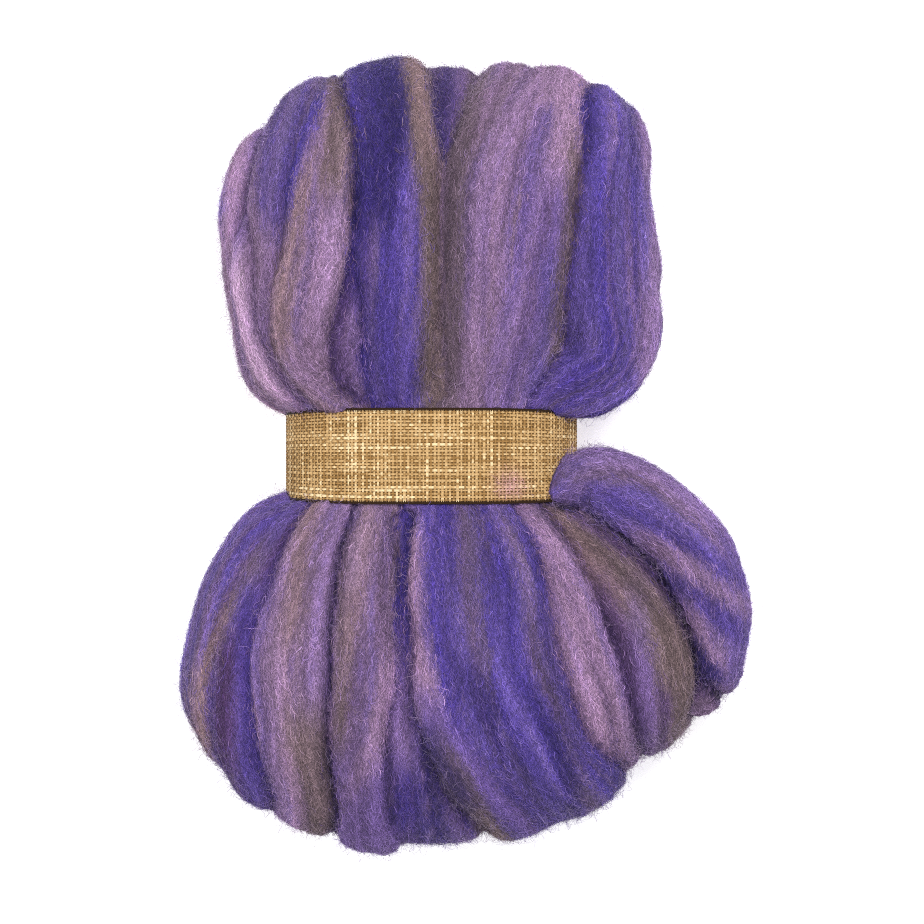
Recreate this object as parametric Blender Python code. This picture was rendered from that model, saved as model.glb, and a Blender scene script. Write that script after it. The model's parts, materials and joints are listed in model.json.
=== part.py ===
"""A hank of wool roving, folded back and forth and tied round its middle with a burlap ribbon.

The hank lies on its back on the plane z = 0. Its length runs along Y with the tie at y = 0, and its
face looks up along +Z. One long roving is folded over the hank's two ends, so each fold in the table
below is a soft loop that leaves the tie, runs out over the face, turns over the end and comes back
down behind. All the folds are one wound body, which ends in two puffed lobes with a waist between.
"""

import math
from collections import namedtuple

import bpy
import numpy as np

MM = 0.001

# The hank, in millimetres
MID_HEIGHT = 44.0  # the middle plane of the hank above the surface it lies on
FOLD_REACH = 35.0  # from the middle plane to the centre of a fold that lies highest
AXIS_INSET = 34.0  # the lobe's inner axis ends this far short of a fold's end
SIDE_LEAN = 0.25  # how far a fold beside the axis leans outward, the lobes being wider than high
SECTION_POWER = 2.7  # a fold's cross-section is a rounded oval, 2 being an ellipse
FOLD_SIDES = 20
STEPS_PER_SPAN = 8
WANDER = 0.9  # how far a fold's centre line strays to the sides
WANDER_SLOW = 73.0  # the lengths of its slow and quick bends
WANDER_QUICK = 39.0
SLOW_SHARE = 0.6
SWELLING = 0.05  # how much wider and narrower a fold grows along its length, as a share

OUTLINE_MIDDLE = (-0.19, 0.43, 0.0)  # the point of the tables below that stands over the origin

# The tie, in millimetres
TIE_CENTRE_X = -13.8
TIE_HALF_WIDE = 58.3
TIE_HALF_HIGH = 33.0
TIE_POWER = 2.4
TIE_WIDTH = 38.0  # the ribbon's own width, along Y
TIE_SIDE_PINCH = 2.0  # each edge of the ribbon draws in by this much where it turns over the side
TIE_THICK = 1.2
TIE_EDGE_ROUND = 0.3  # the outer corners of the ribbon's edges are eased by this much
TIE_STEPS = 72
SEAT_GAP = 0.35  # between the tie and the wool all round it
WAIST_SLACK = 0.2  # the wool inside the tie stays this much more under its inner face
WAIST_REACH = 2.0  # and runs this far past the tie's edges
FOLD_START = 6.0  # folds begin this far from the tie's middle line
FOLD_LEAVES_TIE = 17.0

# The space under the plane the hank lies on, which flattens its back
SURFACE_LOW = (-160, -200, -40)
SURFACE_HIGH = (160, 200, 0)

# The surface mesh of the hank
FORMING_VOXEL = 2.8
SOFTENING_ROUNDS = 5
KEPT_FACES = 0.13

# A fold by the places that its centre line passes, in millimetres from the tie's middle line.
# tip_y is the outline at the end, wide and thick are the fold's cross-section at its belly, tip_wide
# is its width at the end as a share of that, rise is its height from the middle plane as a share of
# FOLD_REACH, and back_x moves its run behind.
Fold = namedtuple(
    "Fold",
    "tie_x low_x low_y belly_x belly_y high_x high_y tip_x tip_y"
    " wide thick tip_wide rise back_x",
)
UPPER_FOLDS = (
    Fold(-62, -77, 34, -82, 66, -86, 99, -81, 131, 26, 21, 1.0, 0.24, -2),
    Fold(-58, -73, 35, -80, 66, -76, 98, -70, 139, 23, 22, 1.0, 0.62, -2),
    Fold(-52, -66, 40, -72, 70, -70, 114, -62, 150, 28, 21, 1.0, 0.86, 2),
    Fold(-46, -63, 43, -61, 76, -56, 116, -50, 153, 30, 24, 0.35, 1.02, 5),
    Fold(-42, -50, 36, -46, 66, -44, 104, -42, 148, 22, 20, 0.8, 0.94, 0),
    Fold(-28, -30, 46, -28, 86, -29, 122, -33, 159, 38, 24, 1.0, 1.04, 2),
    Fold(-11, -9, 50, -8, 86, -7, 122, -8, 156, 26, 20, 1.1, 0.88, -3),
    Fold(4, 4, 50, 4, 86, 10, 122, 23, 156, 32, 23, 1.1, 1.02, -4),
    Fold(15, 22, 46, 30, 82, 34, 118, 41, 154, 29, 22, 1.1, 0.92, 2),
    Fold(30, 55, 37, 57, 66, 55, 102, 53, 147, 40, 29, 0.95, 0.66, 1),
)
LOWER_FOLDS = (
    Fold(-62, -81, -31, -96, -62, -101, -93, -92, -127, 27, 22, 1.0, 0.3, 2),
    Fold(-58, -72, -38, -86, -74, -88, -108, -80, -141, 24, 22, 1.0, 0.66, 3),
    Fold(-50, -62, -44, -68, -78, -67, -114, -62, -150, 33, 23, 1.0, 0.94, -2),
    Fold(-37, -40, -46, -41, -78, -43, -112, -39, -159, 29, 24, 1.1, 1.0, 3),
    Fold(-24, -22, -46, -22, -82, -22, -122, -20, -155, 42, 23, 1.4, 0.84, -4),
    Fold(-9, -8, -46, -4, -82, 5, -118, 25, -151, 37, 24, 1.0, 1.05, -6),
    Fold(8, 18, -46, 21, -82, 36, -116, 48, -142, 35, 23, 1.0, 1.0, 3),
    Fold(18, 37, -46, 47, -74, 55, -102, 60, -127, 27, 21, 0.8, 0.9, 0),
    Fold(24, 52, -44, 69, -67, 75, -92, 74, -118, 35, 25, 0.85, 0.7, 5),
    Fold(30, 48, -18, 77, -38, 91, -64, 92, -104, 28, 26, 0.8, 0.16, 0),
    Fold(34, 53, -9, 84, -30, 98, -60, 97, -100, 28, 27, 0.65, 0.66, -2),
)


# How the folds swell along their length, from inside the tie to the end of the hank
Swell = namedtuple("Swell", "rise wide thick")
AT_TIE = Swell(0.66, 0.5, 0.42)
AT_LOW = Swell(0.86, 0.88, 0.9)
AT_BELLY = Swell(1.0, 1.0, 1.0)
AT_HIGH = Swell(0.84, 1.0, 1.0)
AT_TIP = Swell(0.0, 1.0, 1.0)

# The packed middle of each lobe, under its folds: a row for each section along Y
Section = namedtuple("Section", "y centre_x half_wide half_high")
UPPER_MIDDLE = (
    Section(14, -14, 52, 26),
    Section(24, -14, 55, 28),
    Section(40, -9, 68, 34),
    Section(70, -9, 73, 38),
    Section(100, -13, 72, 36),
    Section(124, -11, 64, 28),
    Section(140, -5, 54, 17),
    Section(146, -3, 46, 9),
)
LOWER_MIDDLE = (
    Section(-14, -14, 52, 26),
    Section(-24, -13, 55, 28),
    Section(-40, -9, 74, 34),
    Section(-68, -9, 82, 38),
    Section(-98, -12, 80, 36),
    Section(-124, -18, 68, 28),
    Section(-140, -15, 56, 17),
    Section(-147, -11, 44, 9),
)


def clear_scene():
    for thing in list(bpy.data.objects):
        bpy.data.objects.remove(thing, do_unlink=True)


def principled(name, colour, roughness):
    material = bpy.data.materials.new(name)
    material.use_nodes = True
    shader = material.node_tree.nodes["Principled BSDF"]
    shader.inputs["Base Color"].default_value = (*colour, 1.0)
    shader.inputs["Roughness"].default_value = roughness
    shader.inputs["Metallic"].default_value = 0.0
    material.diffuse_color = (*colour, 1.0)
    return material


def add_object(name, points, faces, material=None):
    mesh = bpy.data.meshes.new(name)
    mesh.from_pydata(((points - np.array(OUTLINE_MIDDLE)) * MM).tolist(), [], faces)
    mesh.shade_smooth()
    if material:
        mesh.materials.append(material)
    thing = bpy.data.objects.new(name, mesh)
    bpy.context.scene.collection.objects.link(thing)
    return thing


def hide_cutter(cutter):
    cutter.hide_render = True
    cutter.display_type = "WIRE"


def oval(angle, power):
    """A point of the unit rounded oval: an ellipse at power 2, squarer above it."""
    across = math.cos(angle)
    along = math.sin(angle)
    return (
        math.copysign(abs(across) ** (2 / power), across),
        math.copysign(abs(along) ** (2 / power), along),
    )


def smooth_curve(knots):
    """Points of a Catmull-Rom curve through the knots, STEPS_PER_SPAN to each span."""
    knots = np.asarray(knots, float)
    ends = np.vstack([2 * knots[0] - knots[1], knots, 2 * knots[-1] - knots[-2]])
    points = []
    for before, start, stop, after in zip(ends, ends[1:], ends[2:], ends[3:]):
        for step in range(STEPS_PER_SPAN):
            t = step / STEPS_PER_SPAN
            points.append(
                0.5
                * (
                    2 * start
                    + (stop - before) * t
                    + (2 * before - 5 * start + 4 * stop - after) * t**2
                    + (3 * start - before - 3 * stop + after) * t**3
                )
            )
    points.append(knots[-1])
    return np.array(points)


def loft(rings):
    """Points and faces of a closed skin over rings that have the same number of points each."""
    count = len(rings[0])
    faces = []
    for ring in range(len(rings) - 1):
        for side in range(count):
            here = ring * count + side
            beside = ring * count + (side + 1) % count
            faces.append((here, beside, beside + count, here + count))
    last = (len(rings) - 1) * count
    faces.append(tuple(reversed(range(count))))
    faces.append(tuple(range(last, last + count)))
    return np.concatenate(rings), faces


def lobe_axis(middle, y, end_y):
    """The point on a lobe's inner axis that a fold at y bulges away from."""
    inner = min(abs(y), abs(end_y) - AXIS_INSET)
    stations = [abs(section.y) for section in middle]
    centres = [section.centre_x for section in middle]
    x = np.interp(inner, stations, centres)
    return np.array([x, math.copysign(inner, end_y), MID_HEIGHT])


def fold_knots(fold):
    """Centre points, widths and thicknesses of a fold, from the tie over the end and back behind."""
    side = math.copysign(1, fold.tip_y)
    tip_y = fold.tip_y - side * AT_TIP.thick * fold.thick / 2
    stations = (
        (fold.tie_x, side * FOLD_START, AT_TIE),
        (fold.tie_x, side * FOLD_LEAVES_TIE, AT_TIE),
        (fold.low_x, fold.low_y, AT_LOW),
        (fold.belly_x, fold.belly_y, AT_BELLY),
        (fold.high_x, fold.high_y, AT_HIGH),
        (fold.tip_x, tip_y, AT_TIP._replace(wide=fold.tip_wide)),
    )
    front = []
    back = []
    for x, y, swell in stations:
        height = swell.rise * fold.rise * FOLD_REACH
        size = (swell.wide * fold.wide, swell.thick * fold.thick)
        moved = fold.back_x * swell.rise
        front.append((x, y, MID_HEIGHT + height, *size))
        back.append((x + moved, y, MID_HEIGHT - height, *size))
    return front + back[-2::-1]


def uneven(phase, run):
    """How a wound roving strays from even along its run, from -1 to 1."""
    slow = np.sin(2 * math.pi * run / WANDER_SLOW + phase)
    quick = np.sin(2 * math.pi * run / WANDER_QUICK + 2 * phase)
    return SLOW_SHARE * slow + (1 - SLOW_SHARE) * quick


def unit(vectors):
    return vectors / np.linalg.norm(vectors, axis=1, keepdims=True)


def fold_skin(fold, middle):
    """A closed tube of rounded oval section along the fold, its flat side against the lobe."""
    curve = smooth_curve(fold_knots(fold))
    centres = curve[:, :3]
    headings = unit(np.gradient(centres, axis=0))
    outward = centres - [lobe_axis(middle, y, fold.tip_y) for y in centres[:, 1]]
    outward[:, 0] *= SIDE_LEAN
    outward = unit(outward - headings * (outward * headings).sum(axis=1, keepdims=True))
    sideways = np.cross(headings, outward)
    steps = np.linalg.norm(np.diff(centres, axis=0), axis=1)
    run = np.concatenate([[0], np.cumsum(steps)])
    past_tie = abs(centres[:, 1]) - TIE_WIDTH / 2
    free = np.clip(past_tie / TIE_WIDTH, 0, 1)
    moved = WANDER * uneven(fold.tip_x, run) * free
    swell = 1 + SWELLING * uneven(fold.tip_y, run) * free
    centres = centres + sideways * moved[:, None]
    half_wide = curve[:, 3] / 2 * swell
    half_thick = curve[:, 4] / 2 * swell
    rings = []
    for step in range(len(run)):
        ring = []
        for side in range(FOLD_SIDES):
            across, away = oval(2 * math.pi * side / FOLD_SIDES, SECTION_POWER)
            ring.append(
                centres[step]
                + sideways[step] * across * half_wide[step]
                + outward[step] * away * half_thick[step]
            )
        rings.append(np.array(ring)[::-1])
    return loft(rings)


def middle_skin(middle):
    """A closed skin over the packed middle of one lobe."""
    rings = []
    for section in middle:
        ring = []
        for side in range(2 * FOLD_SIDES):
            across, up = oval(2 * math.pi * side / (2 * FOLD_SIDES), SECTION_POWER)
            x = section.centre_x + section.half_wide * across
            z = MID_HEIGHT + section.half_high * up
            ring.append((x, section.y, z))
        rings.append(np.array(ring))
    if middle[0].y < middle[-1].y:
        rings = [ring[::-1] for ring in rings]
    return loft(rings)


def tie_ring(grow, y_share, edge):
    """Points round the tie: grow beyond its outer face, and at y_share of its half width plus edge."""
    ring = []
    for step in range(TIE_STEPS):
        angle = 2 * math.pi * step / TIE_STEPS
        across, up = oval(angle, TIE_POWER)
        pinch = TIE_SIDE_PINCH * across**4
        half_width = TIE_WIDTH / 2 - pinch + edge
        ring.append(
            (
                TIE_CENTRE_X + (TIE_HALF_WIDE + grow) * across,
                y_share * half_width,
                MID_HEIGHT + (TIE_HALF_HIGH + grow) * up,
            )
        )
    return np.array(ring)


def tie_skin(outside, inside, edge):
    """Points and faces of a closed band: its section's corners are joined all the way round."""
    eased = 1 - 4 * TIE_EDGE_ROUND / TIE_WIDTH
    section = (
        (outside - TIE_EDGE_ROUND, -1.0),
        (outside, -eased),
        (outside, 0.0),
        (outside, eased),
        (outside - TIE_EDGE_ROUND, 1.0),
        (inside, 1.0),
        (inside, -1.0),
    )
    rings = [tie_ring(grow, y_share, edge) for grow, y_share in section]
    faces = []
    for ring in range(len(rings)):
        following = (ring + 1) % len(rings)
        for step in range(TIE_STEPS):
            beside = (step + 1) % TIE_STEPS
            faces.append(
                (
                    ring * TIE_STEPS + step,
                    following * TIE_STEPS + step,
                    following * TIE_STEPS + beside,
                    ring * TIE_STEPS + beside,
                )
            )
    return np.concatenate(rings), faces


def waist_skin():
    """The wool packed inside the tie, a little smaller than the tie's inner face."""
    inside = -TIE_THICK - SEAT_GAP - WAIST_SLACK
    return loft([tie_ring(inside, y_share, WAIST_REACH) for y_share in (1.0, 0.0, -1.0)])


def joined(skins):
    points = []
    faces = []
    for skin_points, skin_faces in skins:
        first = sum(len(part) for part in points)
        points.append(skin_points)
        faces += [tuple(first + corner for corner in face) for face in skin_faces]
    return np.concatenate(points), faces


def add_box(name, low, high):
    x0, y0, z0 = low
    x1, y1, z1 = high
    floor = np.array([(x0, y0, z0), (x0, y1, z0), (x1, y1, z0), (x1, y0, z0)])
    roof = floor + (0, 0, z1 - z0)
    points, faces = loft([roof, floor])
    return add_object(name, points, faces)


def make_tie():
    burlap = principled("burlap", (0.58, 0.42, 0.23), 0.95)
    points, faces = tie_skin(0.0, -TIE_THICK, 0.0)
    return add_object("burlap_tie", points, faces, burlap)


def make_hank():
    wool = principled("roving", (0.20, 0.15, 0.36), 0.92)
    skins = [fold_skin(fold, UPPER_MIDDLE) for fold in UPPER_FOLDS]
    skins += [fold_skin(fold, LOWER_MIDDLE) for fold in LOWER_FOLDS]
    skins += [middle_skin(UPPER_MIDDLE), middle_skin(LOWER_MIDDLE), waist_skin()]
    hank = add_object("roving_hank", *joined(skins), wool)

    forming = hank.modifiers.new("one body", "REMESH")
    forming.mode = "VOXEL"
    forming.voxel_size = FORMING_VOXEL * MM
    forming.use_smooth_shade = True

    softening = hank.modifiers.new("soft creases", "SMOOTH")
    softening.factor = 0.5
    softening.iterations = SOFTENING_ROUNDS

    sparing = hank.modifiers.new("fewer faces", "DECIMATE")
    sparing.ratio = KEPT_FACES

    surface = add_box("surface_cutter", SURFACE_LOW, SURFACE_HIGH)
    hide_cutter(surface)
    flat = hank.modifiers.new("flat where it lies", "BOOLEAN")
    flat.operation = "DIFFERENCE"
    flat.object = surface

    seat = add_object("tie_seat_cutter", *tie_skin(SEAT_GAP, -TIE_THICK - SEAT_GAP, SEAT_GAP))
    hide_cutter(seat)
    seated = hank.modifiers.new("seat of the tie", "BOOLEAN")
    seated.operation = "DIFFERENCE"
    seated.object = seat
    return hank


clear_scene()
make_hank()
make_tie()
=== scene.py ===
"""The look of a hank of dyed wool roving tied with a burlap ribbon, seen from straight above.

The wool is one body of the wound form, with its own fine creases, and crimped fibres that lie on
it along the strands and stand off its edges. Its colour holds painted shade in creases and ridge
valleys. The tie is a dark ground, coloured as painted shade in its gaps, under real woven threads.
Tables are in millimetres in the part's own frame, and so are all lengths up to the mesh.
"""

import itertools
import json
import math
from collections import namedtuple

import bpy
import numpy as np
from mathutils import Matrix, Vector
from mathutils.bvhtree import BVHTree

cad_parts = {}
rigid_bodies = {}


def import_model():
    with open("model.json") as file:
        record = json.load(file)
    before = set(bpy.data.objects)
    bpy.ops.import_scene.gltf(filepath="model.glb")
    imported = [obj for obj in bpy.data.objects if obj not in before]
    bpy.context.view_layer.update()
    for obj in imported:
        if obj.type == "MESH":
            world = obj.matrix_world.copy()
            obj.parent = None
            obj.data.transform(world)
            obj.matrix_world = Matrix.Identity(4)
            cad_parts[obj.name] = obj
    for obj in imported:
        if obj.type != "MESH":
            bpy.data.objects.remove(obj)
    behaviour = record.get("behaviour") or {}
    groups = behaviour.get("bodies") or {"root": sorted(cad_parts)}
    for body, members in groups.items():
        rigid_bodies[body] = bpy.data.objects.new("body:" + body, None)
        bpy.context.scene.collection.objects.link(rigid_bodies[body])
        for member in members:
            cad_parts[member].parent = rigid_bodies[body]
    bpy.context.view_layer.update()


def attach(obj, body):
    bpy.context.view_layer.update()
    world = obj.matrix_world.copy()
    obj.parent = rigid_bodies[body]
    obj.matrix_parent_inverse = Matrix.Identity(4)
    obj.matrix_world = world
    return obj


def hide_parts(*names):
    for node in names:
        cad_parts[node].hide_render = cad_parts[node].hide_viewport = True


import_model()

MM = 0.001

# -------------------- the wound form, as in the part
MID_HEIGHT = 44.0
FOLD_REACH = 35.0
AXIS_INSET = 34.0
SIDE_LEAN = 0.25
SECTION_POWER = 2.7
FOLD_SIDES = 24
STEPS_PER_SPAN = 8
WANDER = 0.9
WANDER_SLOW = 73.0
WANDER_QUICK = 39.0
SLOW_SHARE = 0.6
SWELLING = 0.05
OUTLINE_MIDDLE = np.array((-0.19, 0.43, 0.0))

TIE_CENTRE_X = -13.8
TIE_HALF_WIDE = 58.3
TIE_HALF_HIGH = 33.0
TIE_POWER = 2.4
TIE_WIDTH = 38.0
TIE_SIDE_PINCH = 2.0
TIE_THICK = 1.2
SEAT_GAP = 0.35
WAIST_SLACK = 0.2
WAIST_REACH = 2.0
FOLD_START = 6.0
FOLD_LEAVES_TIE = 17.0

PLACES = "tie_x low_x low_y belly_x belly_y high_x high_y tip_x tip_y"
Fold = namedtuple("Fold", PLACES + " wide thick tip_wide rise back_x")
UPPER_FOLDS = [Fold(*row) for row in (
    (-62, -77, 34, -82, 66, -86, 99, -81, 131, 26, 21, 1.0, 0.24, -2),
    (-58, -73, 35, -80, 66, -76, 98, -70, 139, 23, 22, 1.0, 0.62, -2),
    (-52, -66, 40, -72, 70, -70, 114, -62, 150, 28, 21, 1.0, 0.86, 2),
    (-46, -63, 43, -61, 76, -56, 116, -50, 153, 30, 24, 0.35, 1.02, 5),
    (-42, -50, 36, -46, 66, -44, 104, -42, 148, 22, 20, 0.8, 0.94, 0),
    (-28, -30, 46, -28, 86, -29, 122, -33, 159, 38, 24, 1.0, 1.04, 2),
    (-11, -9, 50, -8, 86, -7, 122, -8, 156, 26, 20, 1.1, 0.88, -3),
    (4, 4, 50, 4, 86, 10, 122, 23, 156, 32, 23, 1.1, 1.02, -4),
    (15, 22, 46, 30, 82, 34, 118, 41, 154, 29, 22, 1.1, 0.92, 2),
    (30, 55, 37, 57, 66, 55, 102, 53, 147, 40, 29, 0.95, 0.66, 1),
)]
LOWER_FOLDS = [Fold(*row) for row in (
    (-62, -81, -31, -96, -62, -101, -93, -92, -127, 27, 22, 1.0, 0.3, 2),
    (-58, -72, -38, -86, -74, -88, -108, -80, -141, 24, 22, 1.0, 0.66, 3),
    (-50, -62, -44, -68, -78, -67, -114, -62, -150, 33, 23, 1.0, 0.94, -2),
    (-37, -40, -46, -41, -78, -43, -112, -39, -159, 29, 24, 1.1, 1.0, 3),
    (-24, -22, -46, -22, -82, -22, -122, -20, -155, 42, 23, 1.4, 0.84, -4),
    (-9, -8, -46, -4, -82, 5, -118, 25, -151, 37, 24, 1.0, 1.05, -6),
    (8, 18, -46, 21, -82, 36, -116, 48, -142, 35, 23, 1.0, 1.0, 3),
    (18, 37, -46, 47, -74, 55, -102, 60, -127, 27, 21, 0.8, 0.9, 0),
    (24, 52, -44, 69, -67, 75, -92, 74, -118, 35, 25, 0.85, 0.7, 5),
    (30, 48, -18, 77, -38, 91, -64, 92, -104, 28, 26, 0.8, 0.16, 0),
    (34, 53, -9, 84, -30, 98, -60, 97, -100, 28, 27, 0.65, 0.66, -2),
)]
Swell = namedtuple("Swell", "rise wide thick")
AT_TIE = Swell(0.66, 0.5, 0.42)
AT_LOW = Swell(0.86, 0.88, 0.9)
AT_BELLY = Swell(1.0, 1.0, 1.0)
AT_HIGH = Swell(0.84, 1.0, 1.0)
AT_TIP = Swell(0.0, 1.0, 1.0)

Section = namedtuple("Section", "y centre_x half_wide half_high")
UPPER_MIDDLE = [Section(*row) for row in (
    (14, -14, 52, 26),
    (24, -14, 55, 28),
    (40, -9, 68, 34),
    (70, -9, 73, 38),
    (100, -13, 72, 36),
    (124, -11, 64, 28),
    (140, -5, 54, 17),
    (146, -3, 46, 9),
)]
LOWER_MIDDLE = [Section(*row) for row in (
    (-14, -14, 52, 26),
    (-24, -13, 55, 28),
    (-40, -9, 74, 34),
    (-68, -9, 82, 38),
    (-98, -12, 80, 36),
    (-124, -18, 68, 28),
    (-140, -15, 56, 17),
    (-147, -11, 44, 9),
)]

# -------------------- how the wool is dyed
# Dyes, in sRGB from 0 to 255
DYES = {
    "ink": (50, 38, 100),
    "deep_violet": (72, 56, 137),
    "blue_violet": (98, 80, 152),
    "violet": (112, 88, 148),
    "plum": (84, 60, 104),
    "dark_plum": (70, 46, 88),
    "lilac": (134, 107, 152),
    "mauve": (138, 110, 141),
    "pink_lilac": (156, 124, 157),
    "pale_lilac": (180, 150, 178),
    "grey_taupe": (114, 92, 112),
    "olive_taupe": (112, 93, 95),
    "warm_taupe": (134, 108, 112),
    "slate": (104, 86, 101),
    "wisp": (206, 160, 162),
}

# The two dyes that run mixed along each fold, and how much of the second there is
Dyed = namedtuple("Dyed", "main other share")
UPPER_DYED = [Dyed(*row) for row in (
    ("pale_lilac", "pink_lilac", 0.4),
    ("pink_lilac", "mauve", 0.6),
    ("blue_violet", "deep_violet", 0.5),
    ("mauve", "warm_taupe", 0.4),
    ("lilac", "violet", 0.4),
    ("deep_violet", "blue_violet", 0.3),
    ("plum", "violet", 0.5),
    ("mauve", "lilac", 0.5),
    ("violet", "lilac", 0.45),
    ("blue_violet", "deep_violet", 0.45),
)]
LOWER_DYED = [Dyed(*row) for row in (
    ("blue_violet", "deep_violet", 0.5),
    ("blue_violet", "plum", 0.5),
    ("pink_lilac", "lilac", 0.6),
    ("lilac", "grey_taupe", 0.45),
    ("deep_violet", "ink", 0.5),
    ("blue_violet", "deep_violet", 0.7),
    ("blue_violet", "deep_violet", 0.75),
    ("pink_lilac", "lilac", 0.3),
    ("grey_taupe", "plum", 0.6),
    ("ink", "deep_violet", 0.4),
    ("blue_violet", "lilac", 0.35),
)]

# A streak of another dye, by three places that its middle passes on the face of the hank.
# fold counts from the left, from 0, lobe is 1 above the tie and -1 below it, and share is how much
# of the streak's own dye shows in it.
Streak = namedtuple("Streak", "lobe fold dye x0 y0 x1 y1 x2 y2 half_wide share")
# Two of the ink streaks, marked below, are painted shade in deep hollows.
STREAKS = [Streak(*row) for row in (
    (1, 0, "blue_violet", -101, 112, -100, 106, -99, 100, 4, 1.0),
    (1, 0, "violet", -82, 120, -85, 90, -88, 40, 2, 0.4),
    (1, 0, "pink_lilac", -90, 118, -91, 102, -92, 86, 4, 0.9),
    (1, 1, "violet", -82, 124, -87, 96, -92, 66, 3, 0.6),
    (1, 1, "pale_lilac", -89, 66, -86, 46, -78, 30, 5, 0.9),
    (1, 2, "mauve", -89, 138, -87, 106, -84, 78, 5, 0.8),
    (1, 2, "mauve", -80, 76, -74, 56, -66, 30, 9, 0.8),
    (1, 3, "warm_taupe", -66, 100, -71, 76, -74, 46, 4, 0.8),
    (1, 3, "olive_taupe", -52, 146, -51, 130, -52, 112, 5, 0.9),
    (1, 3, "deep_violet", -64, 162, -52, 161, -40, 160, 9, 1.0),
    (1, 3, "deep_violet", -63, 138, -68, 116, -72, 98, 4, 1.0),
    (1, 3, "mauve", -50, 84, -54, 62, -60, 36, 8, 0.8),
    (1, 4, "deep_violet", -41, 152, -44, 110, -46, 72, 16, 1.0),
    (1, 4, "plum", -49, 60, -52, 42, -50, 20, 5, 0.8),
    (1, 5, "olive_taupe", -20, 158, -13, 100, -10, 20, 6, 1.0),
    (1, 5, "warm_taupe", -21, 160, -17, 146, -14, 128, 4, 0.8),
    (1, 5, "ink", -34, 150, -32, 134, -36, 100, 9, 1.0),
    (1, 5, "ink", -44, 90, -42, 60, -38, 20, 4, 0.6),
    (1, 5, "ink", -36, 56, -34, 38, -32, 20, 6, 0.4),
    (1, 6, "olive_taupe", -16, 110, -12, 70, -9, 20, 6, 1.0),
    (1, 7, "slate", 4, 150, -4, 100, -7, 20, 5, 1.0),
    # painted shade: this ink streak darkens the valley at the top of U6, between U5 and U7
    (1, 6, "ink", -7, 148, -9, 122, -9, 92, 3, 0.8),
    (1, 7, "pink_lilac", 26, 152, 12, 110, 8, 60, 5, 0.3),
    (1, 8, "pink_lilac", 24, 152, 38, 146, 54, 138, 11, 0.8),
    (1, 8, "pink_lilac", 48, 148, 42, 134, 40, 120, 8, 0.9),
    (1, 8, "blue_violet", 33, 66, 33, 50, 28, 30, 3, 0.9),
    (1, 8, "olive_taupe", 42, 116, 40, 80, 36, 46, 3, 0.8),
    (1, 9, "deep_violet", 50, 140, 46, 100, 42, 40, 6, 0.6),
    (1, 9, "lilac", 73, 130, 77, 90, 73, 36, 5, 1.0),
    (-1, 0, "warm_taupe", -88, -50, -106, -88, -104, -124, 3, 1.0),
    (-1, 1, "warm_taupe", -87, -48, -97, -66, -104, -84, 3, 0.9),
    (-1, 1, "dark_plum", -95, -82, -97, -98, -97, -116, 4, 1.0),
    (-1, 1, "deep_violet", -87, -58, -87, -96, -84, -136, 4, 0.7),
    (-1, 2, "warm_taupe", -60, -18, -66, -40, -69, -62, 3.5, 0.8),
    (-1, 2, "olive_taupe", -62, -112, -58, -132, -55, -150, 9, 0.9),
    (-1, 3, "warm_taupe", -38, -30, -40, -46, -43, -66, 3, 0.7),
    (-1, 3, "olive_taupe", -49, -72, -49, -90, -48, -110, 2.5, 0.6),
    (-1, 3, "violet", -44, -128, -40, -142, -38, -156, 16, 0.9),
    (-1, 3, "pink_lilac", -30, -88, -33, -104, -40, -122, 4, 0.7),
    (-1, 4, "lilac", -28, -84, -27, -98, -25, -110, 5, 0.8),
    (-1, 4, "violet", -50, -138, -42, -148, -30, -158, 9, 0.9),
    (-1, 4, "olive_taupe", 4, -128, 9, -146, 13, -158, 6, 1.0),
    (-1, 5, "pink_lilac", -24, -36, -22, -64, -18, -88, 6, 1.0),
    (-1, 5, "violet", -15, -98, 4, -124, 24, -148, 4, 0.7),
    (-1, 5, "olive_taupe", -8, -124, 2, -140, 12, -154, 6, 1.0),
    (-1, 5, "ink", -14, -116, -8, -124, -2, -134, 4, 0.8),
    (-1, 5, "slate", 0, -26, 4, -70, 24, -120, 4, 0.5),
    (-1, 5, "ink", 4, -92, 16, -116, 32, -140, 5, 0.8),
    (-1, 6, "slate", 18, -30, 28, -80, 46, -126, 2, 0.5),
    (-1, 6, "ink", 34, -108, 40, -124, 44, -142, 4, 0.7),
    (-1, 8, "olive_taupe", 34, -30, 62, -50, 84, -84, 8, 0.9),
    (-1, 8, "warm_taupe", 38, -32, 46, -41, 53, -50, 6, 1.0),
    (-1, 8, "plum", 56, -60, 62, -90, 62, -116, 4, 0.8),
    (-1, 8, "violet", 68, -66, 72, -92, 74, -110, 4, 0.5),
    (-1, 8, "olive_taupe", 78, -70, 87, -92, 86, -116, 4, 0.9),
    (-1, 9, "mauve", 88, -96, 94, -100, 100, -104, 8, 0.8),
    (-1, 10, "grey_taupe", 50, -8, 70, -10, 88, -24, 3, 0.8),
    (-1, 10, "lilac", 50, 2, 74, -6, 92, -22, 5, 0.7),
    (-1, 10, "deep_violet", 60, -18, 80, -31, 100, -44, 3, 0.8),
    (-1, 10, "deep_violet", 72, -42, 90, -55, 105, -67, 5, 0.8),
    (-1, 10, "pink_lilac", 78, -38, 90, -46, 102, -54, 4, 0.7),
    (-1, 10, "pink_lilac", 90, -70, 98, -82, 102, -92, 4, 0.8),
    # painted shade: this ink streak darkens the deep hole between L8 and the end of L10
    (-1, 10, "ink", 89, -76, 94, -82, 99, -87, 4, 1.0),
)]
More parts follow.
